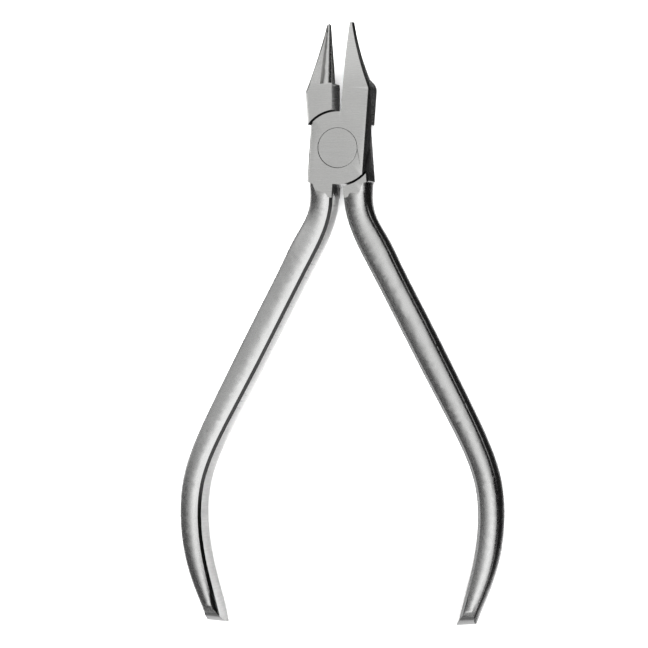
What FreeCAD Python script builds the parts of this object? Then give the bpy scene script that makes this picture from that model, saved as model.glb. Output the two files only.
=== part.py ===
import FreeCAD, Part
import math
import os

import Sketcher
from FreeCAD import Placement, Rotation, Vector

# Bird-beak forming pliers: two forged halves that cross in a lap joint and turn on one flush rivet.
#
# Frame: the pliers lie on their back. +X runs across the jaws, +Y along them to the tips and
# +Z up to the front face. The origin is on the pivot axis, at the back face of the joint.
#
# Both halves come from one forging blank. A blank is drawn in its own frame with the pliers
# closed: its beak on the +X side of the centre plane, its handle on the -X side, and its joint
# plate in the front half of the thickness. The flat beak half stays that way up; the cone beak
# half is the blank turned over about the Y axis. Each is then opened by half of rest_opening.

SIZES = [
    # alias, value in millimetres or degrees, what it sets
    ("joint_thickness", 8.8, "both plates together, front face to back face"),
    ("lap_clearance", 0.1, "between the faces of the two plates"),
    ("boss_radius", 7.85, "round ends of each plate, about the pivot"),
    ("boss_clearance", 0.5, "between a plate's round end and the hollow that it turns in"),
    ("head_side_set", 1.6, "straight side of the head, inwards from the round end's radius"),
    ("head_chamfer", 0.45, "along the outer front edges of the head and beaks"),
    ("back_chamfer", 1.4, "along the outer back edges of the head"),
    ("rest_opening", 8.5, "angle between the jaws as the pliers lie"),
    ("beak_length", 27.4, "pivot to the tips"),
    ("beak_side_radius", 80.0, "hollow curve of each beak's outer side"),
    ("beak_corner_radius", 1.6, "rounding of that corner"),
    ("flat_corner", 13.4, "pivot to the corner where the flat beak starts to taper"),
    ("cone_corner", 12.5, "pivot to the corner where the cone beak starts to taper"),
    ("flat_tip_width", 1.0, "flat beak's tip, across the jaws"),
    ("tip_thickness", 0.85, "flat beak's tip, front to back"),
    ("tip_drop", 2.7, "front face down to the middle of both tips"),
    ("flat_face_gap", 0.2, "flat beak's inner face to the centre plane"),
    ("block_face_gap", 0.22, "cone beak's block to the centre plane, at the ledge"),
    ("block_heel_gap", 0.7, "cone beak's block to the centre plane, at its heel"),
    ("cone_face_gap", -0.08, "cone's inner line to the centre plane"),
    ("root_fillet", 0.5, "between the flat beak's inner face and the plate's round end"),
    ("ledge_height", 14.1, "pivot to the ledge that the cone stands on"),
    ("cone_sunk", 0.3, "how far the cone reaches below its ledge"),
    ("cone_base_radius", 1.65, "cone at the ledge"),
    ("cone_tip_radius", 0.42, "cone at the tip"),
    ("cone_rise", 0.35, "how much nearer the front face the cone's foot lies than its tip"),
    ("beak_slope_outer", 5.3, "centre plane to where the cone beak's front starts to slope inwards"),
    ("beak_slope_drop", 1.45, "fall of that slope from there to the centre plane"),
    ("groove_base", 2.95, "centre plane to the groove beside the cone, at the ledge"),
    ("groove_tip", 0.55, "centre plane to the groove beside the cone, at the tip"),
    ("face_fall_start", 13.2, "pivot to where the beak's front face starts to curve down"),
    ("back_shoulder", 13.3, "pivot to the back shoulder of the beak block"),
    ("back_shoulder_radius", 0.9, "rounding of that shoulder"),
    ("back_step_height", 5.1, "back shoulder's height, up to the thin part of the beak"),
    ("back_step_run", 0.9, "slope of the step behind the shoulder"),
    ("back_sag", 0.75, "hollow curve of the beak's back face"),
    ("shoulder_set", 0.21, "end of the plate's side, from the round end's radius"),
    ("shoulder_run", 0.25, "length of the slanted shoulder below it"),
    ("shoulder_step", 0.35, "width of that shoulder"),
    ("neck_gap", 0.55, "neck's inner wall to the centre plane when closed"),
    ("root_foot_reach", 2.95, "plate's ground face on the handle, beyond the round end"),
    ("root_foot_width", 0.75, "width of that foot, from the neck's inner wall"),
    ("run_out_radius", 6.5, "curve of the ground face's lower end, where the handle rises into it"),
    ("neck_offset", 2.95, "handle's centre line at the neck's bend, from the centre plane"),
    ("neck_drop", 14.55, "pivot to the neck's bend"),
    ("neck_bend_radius", 15.0, "handle's centre line through the neck"),
    ("neck_top_set", 0.3, "neck's inner wall inside the plate, beyond its gap to the centre plane"),
    ("neck_top_drop", 4.0, "pivot to the start of the handle's centre line"),
    ("grip_offset", 30.3, "handle's centre line at the grip's bend, from the centre plane"),
    ("grip_drop", 78.5, "pivot to the grip's bend"),
    ("grip_bend_radius", 39.4, "handle's centre line through the grip"),
    ("end_offset", 20.15, "handle's end, from the centre plane"),
    ("end_drop", 104.5, "pivot to the handle's end"),
    ("neck_width", 5.3, "handle across its centre line at the neck"),
    ("shaft_width", 5.8, "handle below the neck"),
    ("grip_width", 5.0, "handle at the grip's bend"),
    ("end_width", 3.2, "handle at its end"),
    ("root_stock", 0.7, "handle root's depth beyond the joint, which is ground off flat"),
    ("neck_relief", 0.3, "joint's thickness less the handle's depth just below the plate"),
    ("shaft_relief", 0.7, "the same below the neck"),
    ("grip_relief", 0.3, "the same at the grip"),
    ("end_relief", 0.6, "the same at the handle's end"),
    ("inner_chamfer", 0.65, "along the inner edges of the handle"),
    ("edge_round", 0.9, "along the outer edges of the handle"),
    ("face_crown", 0.33, "rise of the handle's front and back faces"),
    ("shaft_wall_crown", 0.2, "rise of the handle's inner side, from the plate to the grip"),
    ("end_wall_crown", 0.8, "rise of the inner side at the handle's end"),
    ("side_crown", 0.25, "rise of the handle's outer side"),
    ("end_nose", 0.3, "half of the flat that the end's rounding leaves"),
    ("rivet_head_radius", 4.33, "rivet's flush front head"),
    ("rivet_head_land", 0.8, "straight part of the head"),
    ("rivet_head_step", 0.93, "head's radius less the journal's that the front plate turns on"),
    ("rivet_head_taper", 0.9, "height of the head's cone"),
    ("rivet_shank_step", 0.8, "journal's radius less the shank's in the rear plate"),
    ("rivet_foot_flare", 0.6, "peened foot's radius beyond the shank's"),
    ("rivet_foot_height", 0.9, "height of the peened foot"),
    ("running_clearance", 0.05, "between the rivet and the plate that turns on it"),
]

DERIVED = [
    # alias, formula over the sizes above it, what it gives
    ("head_half_width", "boss_radius - head_side_set", "pivot to the straight side of the head"),
    ("shoulder_drop", "boss_radius - shoulder_set", "pivot to where the plate's side ends"),
    ("root_foot_drop", "boss_radius + root_foot_reach", "pivot to the foot of the ground face"),
    ("neck_top_offset", "neck_gap + neck_width / 2 + neck_top_set", "start of the centre line"),
    ("tip_level", "joint_thickness - tip_drop", "middle of both tips, above the back face"),
    ("root_depth", "joint_thickness + root_stock", "handle front to back inside the plate"),
    ("neck_depth", "joint_thickness - neck_relief", "handle front to back below the plate"),
    ("shaft_depth", "joint_thickness - shaft_relief", "handle front to back below the neck"),
    ("grip_depth", "joint_thickness - grip_relief", "handle front to back at the grip"),
    ("end_depth", "joint_thickness - end_relief", "handle front to back at its end"),
    ("end_round", "end_depth / 2 - end_nose", "rounding of the end, seen from the side"),
    ("rivet_neck_radius", "rivet_head_radius - rivet_head_step", "journal of the front plate"),
    ("rivet_shank_radius", "rivet_neck_radius - rivet_shank_step", "shank in the rear plate"),
    ("rivet_foot_radius", "rivet_shank_radius + rivet_foot_flare", "peened foot"),
]

EPS = 1e-4  # cubic millimetres that a cut must take off at least


def make_sheet(doc):
    """Put every size in a spreadsheet cell that carries its name, with the formulas of some."""
    sheet = doc.addObject("Spreadsheet::Sheet", "sizes")
    derived = [(alias, "=" + formula, meaning) for alias, formula, meaning in DERIVED]
    for row, (alias, value, meaning) in enumerate(SIZES + derived, start=1):
        sheet.set("A%d" % row, alias)
        sheet.set("B%d" % row, str(value))
        sheet.setAlias("B%d" % row, alias)
        sheet.set("C%d" % row, meaning)
    doc.recompute()
    return sheet


def bound(text):
    """Write a formula over size names as an expression over the spreadsheet's cells."""
    names = {alias for alias, _, _ in SIZES + DERIVED}
    return " ".join("sizes." + word if word in names else word for word in text.split())


def plane(body, role):
    """The body's own origin plane of that role."""
    return [item for item in body.Origin.OriginFeatures if item.Role == role][0]


def new_sketch(body, name, role="XY_Plane", offset=None):
    """A sketch on one of the body's origin planes, moved by offset within it."""
    sketch = body.newObject("Sketcher::SketchObject", name)
    sketch.AttachmentSupport = [(plane(body, role), "")]
    sketch.MapMode = "FlatFace"
    if offset is not None:
        sketch.AttachmentOffset = offset
    return sketch


def value_of(sheet, text):
    """The number that a formula over size names gives now."""
    return float(sheet.evalExpression(text))


def pin_vertex(sketch, edge, end, x_text, y_text, spot):
    """Tie one end of an edge to the sketch's axes by formulas."""
    for kind, text, number in (("DistanceX", x_text, spot.x), ("DistanceY", y_text, spot.y)):
        index = sketch.addConstraint(Sketcher.Constraint(kind, -1, 1, edge, end, number))
        sketch.setExpression("Constraints[%d]" % index, bound(text))


def arc_through(start, finish, radius, side):
    """The short arc of that radius between two points; side 1 bulges left of start to finish."""
    chord = finish - start
    half = chord.Length / 2
    rise = radius - math.sqrt(radius * radius - half * half)
    left = Vector(-chord.y, chord.x, 0).normalize()
    return Part.Arc(start, (start + finish) * 0.5 + left * (rise * side), finish)


def add_outline(sheet, sketch, corners):
    """Draw a closed outline.

    Each corner is (x formula, y formula, edge to the next corner); an edge is None for a line,
    or (radius formula, side) for an arc, whose side is 1 where it bulges left of its direction.
    """
    spots = [Vector(value_of(sheet, x), value_of(sheet, y), 0) for x, y, _ in corners]
    count = len(corners)
    ends = []
    for number in range(count):
        start, finish = spots[number], spots[(number + 1) % count]
        edge = corners[number][2]
        if edge is None:
            index = sketch.addGeometry(Part.LineSegment(start, finish), False)
            ends.append((index, 1, 2))
            continue
        radius_text, side = edge
        radius = value_of(sheet, radius_text)
        if side > 0:
            index = sketch.addGeometry(arc_through(finish, start, radius, -side), False)
            ends.append((index, 2, 1))
        else:
            index = sketch.addGeometry(arc_through(start, finish, radius, side), False)
            ends.append((index, 1, 2))
        radius_index = sketch.addConstraint(Sketcher.Constraint("Radius", index, radius))
        sketch.setExpression("Constraints[%d]" % radius_index, bound(radius_text))
    for number in range(count):
        index, start_end, finish_end = ends[number]
        next_index, next_start, _ = ends[(number + 1) % count]
        sketch.addConstraint(
            Sketcher.Constraint("Coincident", index, finish_end, next_index, next_start))
        x_text, y_text, _ = corners[number]
        pin_vertex(sketch, index, start_end, x_text, y_text, spots[number])


def add_circle(sheet, sketch, radius_text):
    """Draw a circle about the sketch's origin."""
    radius = value_of(sheet, radius_text)
    index = sketch.addGeometry(Part.Circle(Vector(0, 0, 0), Vector(0, 0, 1), radius), False)
    sketch.addConstraint(Sketcher.Constraint("Coincident", index, 3, -1, 1))
    radius_index = sketch.addConstraint(Sketcher.Constraint("Radius", index, radius))
    sketch.setExpression("Constraints[%d]" % radius_index, bound(radius_text))


def turn_over(corners, over):
    """The same outline seen from the blank's other face, for the half that is turned over."""
    if not over:
        return corners
    turned = []
    for x_text, level, edge in corners:
        flipped = None if edge is None else (edge[0], -edge[1])
        turned.append((x_text, "joint_thickness - ( %s )" % level, flipped))
    return turned


def cut_both_ways(body, sketch, name, length_text):
    """Pocket a sketch equally to both sides of its plane, and make sure that it cut something."""
    before = body.Shape.Volume
    pocket = body.newObject("PartDesign::Pocket", name)
    pocket.Profile = sketch
    pocket.SideType = "Symmetric"
    pocket.setExpression("Length", bound(length_text))
    body.Document.recompute()
    if body.Shape.Volume > before - EPS:
        raise RuntimeError(name + " cut nothing")
    return pocket


# Corner points of the head, worked out from the sizes as formulas.
BOSS_SIDE_Y = "sqrt( boss_radius ^ 2 - head_half_width ^ 2 )"
HOLLOW = "( boss_radius + boss_clearance )"
ROOT_X = "( flat_face_gap - root_fillet )"
ROOT_Y = "sqrt( ( boss_radius + root_fillet ) ^ 2 - %s ^ 2 )" % ROOT_X
ROOT_SHARE = "( boss_radius / ( boss_radius + root_fillet ) )"
NECK_Y = "sqrt( boss_radius ^ 2 - neck_gap ^ 2 )"


def flat_jaw_corners():
    """Outline of the flat beak, from its root at the round end to its outer corner."""
    return [
        ("%s * %s" % (ROOT_X, ROOT_SHARE), "%s * %s" % (ROOT_Y, ROOT_SHARE), ("root_fillet", -1)),
        ("flat_face_gap", ROOT_Y, None),
        ("flat_face_gap", "beak_length", None),
        ("flat_face_gap + flat_tip_width", "beak_length", ("beak_side_radius", -1)),
        ("head_half_width", "flat_corner", None),
    ]


def cone_jaw_corners():
    """Outline of the cone beak's body, from its heel on the round end to its outer corner."""
    return [
        ("block_heel_gap", "sqrt( boss_radius ^ 2 - block_heel_gap ^ 2 )", None),
        ("block_face_gap", "ledge_height", None),
        ("groove_base", "ledge_height", None),
        ("groove_tip", "beak_length - cone_tip_radius", None),
        ("groove_tip + cone_tip_radius * 0.7", "beak_length - cone_tip_radius * 1.6",
         ("beak_side_radius", -1)),
        ("head_half_width", "cone_corner", None),
    ]


def make_head(sheet, body, jaw_corners, corner_name):
    """The plate, the beak and the root of the handle, at the joint's full thickness."""
    sketch = new_sketch(body, "head_outline")
    x_first, y_first, first_edge = jaw_corners[0]
    corners = [("- head_half_width", BOSS_SIDE_Y, ("boss_radius", 1))]
    corners += jaw_corners
    corners += [
        ("head_half_width", "- " + BOSS_SIDE_Y, ("boss_radius", 1)),
        ("- neck_gap", "- " + NECK_Y, None),
        ("- neck_gap", "- root_foot_drop", None),
        ("- neck_gap - root_foot_width", "- root_foot_drop", ("run_out_radius", -1)),
        ("- head_half_width + shoulder_step", "- shoulder_drop - shoulder_run", None),
        ("- head_half_width", "- shoulder_drop", None),
    ]
    add_outline(sheet, sketch, corners)
    pad = body.newObject("PartDesign::Pad", "head")
    pad.Profile = sketch
    pad.setExpression("Length", bound("joint_thickness"))
    body.Document.recompute()
    corner = Vector(value_of(sheet, "head_half_width"), value_of(sheet, corner_name), 0)
    upright = [number for number, edge in enumerate(body.Shape.Edges, start=1)
               if abs(edge.tangentAt(edge.FirstParameter).z) > 0.9
               and edge.distToShape(Part.Vertex(corner))[0] < EPS]
    fillet = body.newObject("PartDesign::Fillet", "beak_corner")
    fillet.Base = (pad, ["Edge%d" % number for number in upright])
    fillet.setExpression("Radius", bound("beak_corner_radius"))
    body.Document.recompute()


def chamfer_sides(sheet, body, name, size, upper):
    """Chamfer the long outer edges of the head and beak, on its upper or its lower face."""
    half_width = value_of(sheet, "head_half_width")
    middle_level = value_of(sheet, "joint_thickness / 2")
    bottom = -value_of(sheet, "shoulder_drop")
    beak_inside = value_of(sheet, "groove_base") * 1.02
    names = []
    for number, edge in enumerate(body.Shape.Edges, start=1):
        half_way = (edge.FirstParameter + edge.LastParameter) / 2
        spot, along = edge.valueAt(half_way), edge.tangentAt(half_way)
        lengthwise = abs(along.y) > 0.5 and spot.y > bottom
        on_side = abs(abs(spot.x) - half_width) < half_width * 0.1
        on_beak = spot.y > half_width and spot.x > beak_inside
        if lengthwise and (on_side or on_beak) and (spot.z > middle_level) == upper:
            names.append("Edge%d" % number)
    solid = body.Tip
    chamfer = body.newObject("PartDesign::Chamfer", name)
    chamfer.Base = (solid, names)
    chamfer.setExpression("Size", bound(size))
    body.Document.recompute()


def path_points(sheet):
    """The handle's centre line as corner points with the radius that rounds each one."""
    names = (("neck_top", None), ("neck", "neck_bend_radius"), ("grip", "grip_bend_radius"),
             ("end", None))
    points = []
    for name, radius_name in names:
        spot = Vector(-value_of(sheet, name + "_offset"), -value_of(sheet, name + "_drop"), 0)
        points.append((spot, value_of(sheet, radius_name) if radius_name else 0.0))
    return points


def path_wire(sheet):
    """Straight runs joined by tangent arcs along the handle's centre line."""
    points = path_points(sheet)
    edges = []
    start = points[0][0]
    for number in (1, 2):
        corner, radius = points[number]
        back = (points[number - 1][0] - corner).normalize()
        ahead = (points[number + 1][0] - corner).normalize()
        half_turn = (math.pi - back.getAngle(ahead)) / 2
        reach = radius * math.tan(half_turn)
        enter, leave = corner + back * reach, corner + ahead * reach
        to_centre = (back + ahead).normalize() * (radius / math.cos(half_turn))
        middle = corner + to_centre - (back + ahead).normalize() * radius
        edges.append(Part.LineSegment(start, enter).toShape())
        edges.append(Part.Arc(enter, middle, leave).toShape())
        start = leave
    end = points[3][0]
    beyond = (end - start).normalize() * END_SPARE
    edges.append(Part.LineSegment(start, end + beyond).toShape())
    return edges


def station(edge, share):
    """Point and direction at a share of an edge's length."""
    first, last = edge.ParameterRange
    at = edge.getParameterByLength(edge.Length * share) if share < 1 else last
    return edge.valueAt(at), edge.tangentAt(at)


# Stations of the handle: centre-line run, share of that run, then width, depth and the rise of
# the inner side there.
STATIONS = [
    (0, 0.0, "neck_width", "root_depth", "shaft_wall_crown"),
    (0, 0.7, "neck_width", "neck_depth * 0.35 + root_depth * 0.65", "shaft_wall_crown"),
    (1, 0.35, "neck_width", "neck_depth * 0.6 + shaft_depth * 0.4", "shaft_wall_crown"),
    (2, 0.0, "neck_width * 0.3 + shaft_width * 0.7", "shaft_depth", "shaft_wall_crown"),
    (2, 0.28, "shaft_width", "shaft_depth", "shaft_wall_crown"),
    (2, 0.62, "shaft_width", "shaft_depth", "shaft_wall_crown"),
    (2, 0.9, "shaft_width * 0.55 + grip_width * 0.45", "shaft_depth * 0.5 + grip_depth * 0.5",
     "shaft_wall_crown * 0.85 + end_wall_crown * 0.15"),
    (3, 0.25, "shaft_width * 0.15 + grip_width * 0.85", "grip_depth",
     "shaft_wall_crown * 0.7 + end_wall_crown * 0.3"),
    (3, 0.6, "grip_width", "grip_depth", "shaft_wall_crown * 0.45 + end_wall_crown * 0.55"),
    (3, 0.95, "grip_width * 0.85 + end_width * 0.15", "grip_depth",
     "shaft_wall_crown * 0.2 + end_wall_crown * 0.8"),
    (4, 0.5, "grip_width * 0.4 + end_width * 0.6", "grip_depth * 0.5 + end_depth * 0.5",
     "end_wall_crown"),
    (4, 1.0, "end_width", "end_depth", "end_wall_crown"),
]
END_SPARE = 1.2  # millimetres of handle beyond its end, which the rounding takes off


def add_section(sheet, body, number, spot, direction, width, depth, wall_crown):
    """One cross-section of the handle: crowned all round, chamfered inside, rounded outside.

    In the sketch x runs outwards across the handle and y runs up through its depth.
    """
    outwards = Vector(direction.y, -direction.x, 0)
    lift = Vector(0, 0, value_of(sheet, "joint_thickness / 2"))
    turned = Rotation(outwards, Vector(0, 0, 1), Vector(), "XYZ")
    offset = Placement(spot + lift, turned)
    sketch = new_sketch(body, "handle_section_%d" % number, offset=offset)
    half, rise = "( %s ) / 2" % width, "( %s ) / 2" % depth
    inside = "- " + half
    face_low = "%s - face_crown" % rise
    crown_chord = "( %s - inner_chamfer - edge_round )" % width
    crown = "( ( {0} / 2 ) ^ 2 + face_crown ^ 2 ) / ( 2 * face_crown )".format(crown_chord)
    wall = "( %s - edge_round )" % face_low
    side = "( {0} ^ 2 + side_crown ^ 2 ) / ( 2 * side_crown )".format(wall)
    shelf = "%s - edge_round" % half
    brow = "%s - side_crown" % half
    round_radius = "edge_round"
    flank = "( %s - inner_chamfer )" % face_low
    inner = "( {0} ^ 2 + ( {1} ) ^ 2 ) / ( 2 * ( {1} ) )".format(flank, wall_crown)
    add_outline(sheet, sketch, [
        (inside, "- " + flank, (inner, 1)),
        (inside, flank, None),
        (inside + " + inner_chamfer", face_low, (crown, 1)),
        (shelf, face_low, (round_radius, 1)),
        (brow, wall, (side, 1)),
        (brow, "- " + wall, (round_radius, 1)),
        (shelf, "- ( %s )" % face_low, (crown, 1)),
        (inside + " + inner_chamfer", "- ( %s )" % face_low, None),
    ])
    return sketch


def make_handle(sheet, body):
    """Loft the handle through its cross-sections along the centre line."""
    runs = path_wire(sheet)
    sections = []
    for number, (run, share, width, depth, wall_crown) in enumerate(STATIONS):
        spot, direction = station(runs[run], share)
        sections.append(
            add_section(sheet, body, number, spot, direction, width, depth, wall_crown))
    body.Document.recompute()
    loft = body.newObject("PartDesign::AdditiveLoft", "handle")
    loft.Profile = sections[0]
    loft.Sections = sections[1:]
    loft.Ruled = False
    body.Document.recompute()


def grind_faces(sheet, body):
    """Take the handle's crowned root down to the joint's front and back faces."""
    for name, low, high in (("back_grind", "- joint_thickness", "0"),
                            ("front_grind", "joint_thickness", "joint_thickness * 2")):
        sketch = new_sketch(body, name + "_area", "YZ_Plane")
        reach = "- end_drop - head_half_width"
        add_outline(sheet, sketch, [
            (reach, low, None),
            ("beak_length + head_half_width", low, None),
            ("beak_length + head_half_width", high, None),
            (reach, high, None),
        ])
        cut_both_ways(body, sketch, name, "grip_offset * 4")


def round_end(sheet, body):
    """Cut the handle's end across and round it, seen from the side, into a tongue."""
    end = path_points(sheet)[-1][0]
    lift = Vector(0, 0, value_of(sheet, "joint_thickness / 2"))
    turned = Rotation(Vector(0, -1, 0), Vector(0, 0, 1), Vector(), "XYZ")
    tongue_nose = "end_depth / 2 - end_round"
    outside = "end_depth"
    for name, sign in (("end_round_front", 1), ("end_round_back", -1)):
        sketch = new_sketch(body, name + "_area", offset=Placement(end + lift, turned))
        side = "" if sign > 0 else "- "
        add_outline(sheet, sketch, [
            ("- end_round", side + "end_depth / 2", ("end_round", sign)),
            ("0", "%s( %s )" % (side, tongue_nose), None),
            ("0", "0", None),
            (outside, "0", None),
            (outside, side + outside, None),
            ("- end_round", side + outside, None),
        ])
        cut_both_ways(body, sketch, name, "grip_width * 4")


def shape_beak(sheet, body, over):
    """Curve the beak's front face down to the tip and step its back face up to it."""
    front = new_sketch(body, "front_fall_area", "YZ_Plane")
    fall = "( joint_thickness - tip_level - tip_thickness / 2 )"
    run = "( beak_length - face_fall_start )"
    fall_radius = "( {0} ^ 2 + {1} ^ 2 ) / ( 2 * {1} )".format(run, fall)
    beyond = "beak_length + tip_thickness"
    above = "joint_thickness * 1.5"
    add_outline(sheet, front, turn_over([
        ("face_fall_start", "joint_thickness", (fall_radius, 1)),
        ("beak_length", "tip_level + tip_thickness / 2", None),
        (beyond, "tip_level + tip_thickness / 2", None),
        (beyond, above, None),
        ("face_fall_start", above, None),
    ], over))
    cut_both_ways(body, front, "front_fall", "head_half_width * 4")

    back = new_sketch(body, "back_step_area", "YZ_Plane")
    step_x = "back_shoulder + back_shoulder_radius + back_step_run"
    rise = "( tip_level - tip_thickness / 2 - back_step_height )"
    chord = "( sqrt( ( beak_length - %s ) ^ 2 + %s ^ 2 ) / 2 )" % (step_x.replace("+", "-"), rise)
    sag_radius = "( {0} ^ 2 + back_sag ^ 2 ) / ( 2 * back_sag )".format(chord)
    add_outline(sheet, back, turn_over([
        ("back_shoulder", "0", ("back_shoulder_radius", -1)),
        ("back_shoulder + back_shoulder_radius", "back_shoulder_radius", None),
        (step_x, "back_step_height", (sag_radius, 1)),
        ("beak_length", "tip_level - tip_thickness / 2", None),
        (beyond, "tip_level - tip_thickness / 2", None),
        (beyond, "- joint_thickness", None),
        ("back_shoulder", "- joint_thickness", None),
    ], over))
    cut_both_ways(body, back, "back_step", "head_half_width * 4")


def slope_cone_beak(sheet, body):
    """Slope the cone beak's front face inwards beside the cone, from its outer edge down."""
    above_ledge = Placement(Vector(0, 0, -value_of(sheet, "beak_length * 2")), Rotation())
    slope = new_sketch(body, "beak_slope_area", "XZ_Plane", offset=above_ledge)
    outer = "beak_slope_outer"
    front = "- joint_thickness"
    add_outline(sheet, slope, [
        ("0", "beak_slope_drop", None),
        ("0", front, None),
        (outer, front, None),
        (outer, "0", None),
    ])
    cut_both_ways(body, slope, "beak_slope", "( beak_length * 2 - ledge_height ) * 2")


def cut_lap(sheet, body, bore_corners):
    """Take out the back half of the joint, where the other plate turns, and bore for the rivet."""
    lap = new_sketch(body, "lap_area")
    add_circle(sheet, lap, HOLLOW)
    cut_both_ways(body, lap, "lap_recess", "joint_thickness + lap_clearance")
    bore = new_sketch(body, "bore_profile", "XZ_Plane")
    add_outline(sheet, bore, bore_corners)
    before = body.Shape.Volume
    groove = body.newObject("PartDesign::Groove", "rivet_bore")
    groove.Profile = bore
    groove.ReferenceAxis = (bore, ["V_Axis"])
    groove.Angle = 360
    body.Document.recompute()
    if body.Shape.Volume > before - EPS:
        raise RuntimeError("rivet_bore cut nothing")


def add_cone(sheet, body):
    """Stand the cone on its ledge, tilted so that its inner line runs parallel to the jaws."""
    length = value_of(sheet, "beak_length - cone_tip_radius - ledge_height")
    half_angle = math.atan2(value_of(sheet, "cone_base_radius - cone_tip_radius"), length)
    lean = math.atan2(value_of(sheet, "cone_rise"), length)
    foot = Vector(value_of(sheet, "cone_face_gap + cone_base_radius"),
                  value_of(sheet, "ledge_height"),
                  value_of(sheet, "joint_thickness - tip_level - cone_rise"))
    leaning = Rotation(Vector(1, 0, 0), math.degrees(lean))
    turned = leaning.multiply(Rotation(Vector(0, 0, 1), math.degrees(half_angle)))
    sketch = new_sketch(body, "cone_profile", offset=Placement(foot, turned))
    rise = "( beak_length - cone_tip_radius - ledge_height )"
    taper = "( cone_base_radius - cone_tip_radius ) / %s" % rise
    add_outline(sheet, sketch, [
        ("0", "- cone_sunk", None),
        ("cone_base_radius + cone_sunk * %s" % taper, "- cone_sunk", None),
        ("cone_tip_radius", rise, ("cone_tip_radius", 1)),
        ("0", rise + " + cone_tip_radius", None),
    ])
    cone = body.newObject("PartDesign::Revolution", "cone")
    cone.Profile = sketch
    cone.ReferenceAxis = (sketch, ["V_Axis"])
    cone.Angle = 360
    body.Document.recompute()


def front_plate_bore():
    """Profile of the bore in the plate that turns on the rivet, with its running clearance."""
    head = "rivet_head_radius + running_clearance"
    journal = "rivet_neck_radius + running_clearance"
    land = "joint_thickness - rivet_head_land - running_clearance"
    return [
        ("0", "0", None),
        (journal, "0", None),
        (journal, land + " - rivet_head_taper", None),
        (head, land, None),
        (head, "joint_thickness * 1.2", None),
        ("0", "joint_thickness * 1.2", None),
    ]


def rear_plate_bore():
    """Profile of the bore that grips the rivet's shank and peened foot, from the turned blank."""
    foot = "joint_thickness - rivet_foot_height"
    return [
        ("0", "0", None),
        ("rivet_shank_radius", "0", None),
        ("rivet_shank_radius", foot, None),
        ("rivet_foot_radius", "joint_thickness", None),
        ("rivet_foot_radius", "joint_thickness * 1.2", None),
        ("0", "joint_thickness * 1.2", None),
    ]


def new_body(doc, name):
    """An empty body with its own label."""
    body = doc.addObject("PartDesign::Body", name)
    body.Label = name
    return body


def make_flat_half(doc, sheet):
    """Front plate, flat pyramid beak and the handle on the -X side."""
    body = new_body(doc, "flat_beak_half")
    make_head(sheet, body, flat_jaw_corners(), "flat_corner")
    chamfer_sides(sheet, body, "back_chamfers", "back_chamfer", upper=False)
    shape_beak(sheet, body, over=False)
    chamfer_sides(sheet, body, "front_chamfers", "head_chamfer", upper=True)
    make_handle(sheet, body)
    grind_faces(sheet, body)
    round_end(sheet, body)
    cut_lap(sheet, body, front_plate_bore())
    half_opening = value_of(sheet, "rest_opening / 2")
    body.Placement = Placement(Vector(), Rotation(Vector(0, 0, 1), -half_opening))
    return body


def make_cone_half(doc, sheet):
    """Rear plate, cone beak and the handle on the +X side."""
    body = new_body(doc, "cone_beak_half")
    make_head(sheet, body, cone_jaw_corners(), "cone_corner")
    chamfer_sides(sheet, body, "back_chamfers", "back_chamfer", upper=True)
    shape_beak(sheet, body, over=True)
    chamfer_sides(sheet, body, "front_chamfers", "head_chamfer", upper=False)
    slope_cone_beak(sheet, body)
    add_cone(sheet, body)
    make_handle(sheet, body)
    grind_faces(sheet, body)
    round_end(sheet, body)
    cut_lap(sheet, body, rear_plate_bore())
    half_opening = value_of(sheet, "rest_opening / 2")
    over = Rotation(Vector(0, 1, 0), 180)
    opened = Rotation(Vector(0, 0, 1), half_opening)
    lift = Vector(0, 0, value_of(sheet, "joint_thickness"))
    body.Placement = Placement(lift, opened.multiply(over))
    return body


def make_rivet(doc, sheet):
    """The hinge rivet: flush tapered head, journal, shank and peened foot."""
    body = new_body(doc, "hinge_rivet")
    sketch = new_sketch(body, "rivet_profile", "XZ_Plane")
    lap = "joint_thickness / 2"
    land = "joint_thickness - rivet_head_land"
    add_outline(sheet, sketch, [
        ("0", "0", None),
        ("rivet_foot_radius", "0", None),
        ("rivet_shank_radius", "rivet_foot_height", None),
        ("rivet_shank_radius", lap, None),
        ("rivet_neck_radius", lap, None),
        ("rivet_neck_radius", land + " - rivet_head_taper", None),
        ("rivet_head_radius", land, None),
        ("rivet_head_radius", "joint_thickness", None),
        ("0", "joint_thickness", None),
    ])
    turned = body.newObject("PartDesign::Revolution", "rivet_turning")
    turned.Profile = sketch
    turned.ReferenceAxis = (sketch, ["V_Axis"])
    turned.Angle = 360
    doc.recompute()
    return body


def check_and_write(doc, bodies):
    """Refuse a failed feature or an invalid shape, then write one file for each piece."""
    doc.recompute()
    for item in doc.Objects:
        if {"Invalid", "Error"} & set(item.State):
            raise RuntimeError("%s failed: %s" % (item.Name, item.State))
    for body in bodies:
        if body.Shape.isNull() or not body.Shape.isValid():
            raise RuntimeError(body.Label + " has no valid shape")
        if len(body.Shape.Solids) != 1:
            raise RuntimeError(body.Label + " is not one solid")
    os.makedirs("parts", exist_ok=True)
    for body in bodies:
        body.Shape.exportStep("parts/%s.step" % body.Label)
        print(body.Label, body.Shape.BoundBox, "volume", round(body.Shape.Volume, 2))


def main():
    """Build the three pieces and write them."""
    doc = FreeCAD.newDocument("pliers")
    sheet = make_sheet(doc)
    bodies = [make_flat_half(doc, sheet), make_cone_half(doc, sheet), make_rivet(doc, sheet)]
    check_and_write(doc, bodies)


main()
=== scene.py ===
import logging
import math
from dataclasses import dataclass
from enum import Enum

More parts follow.
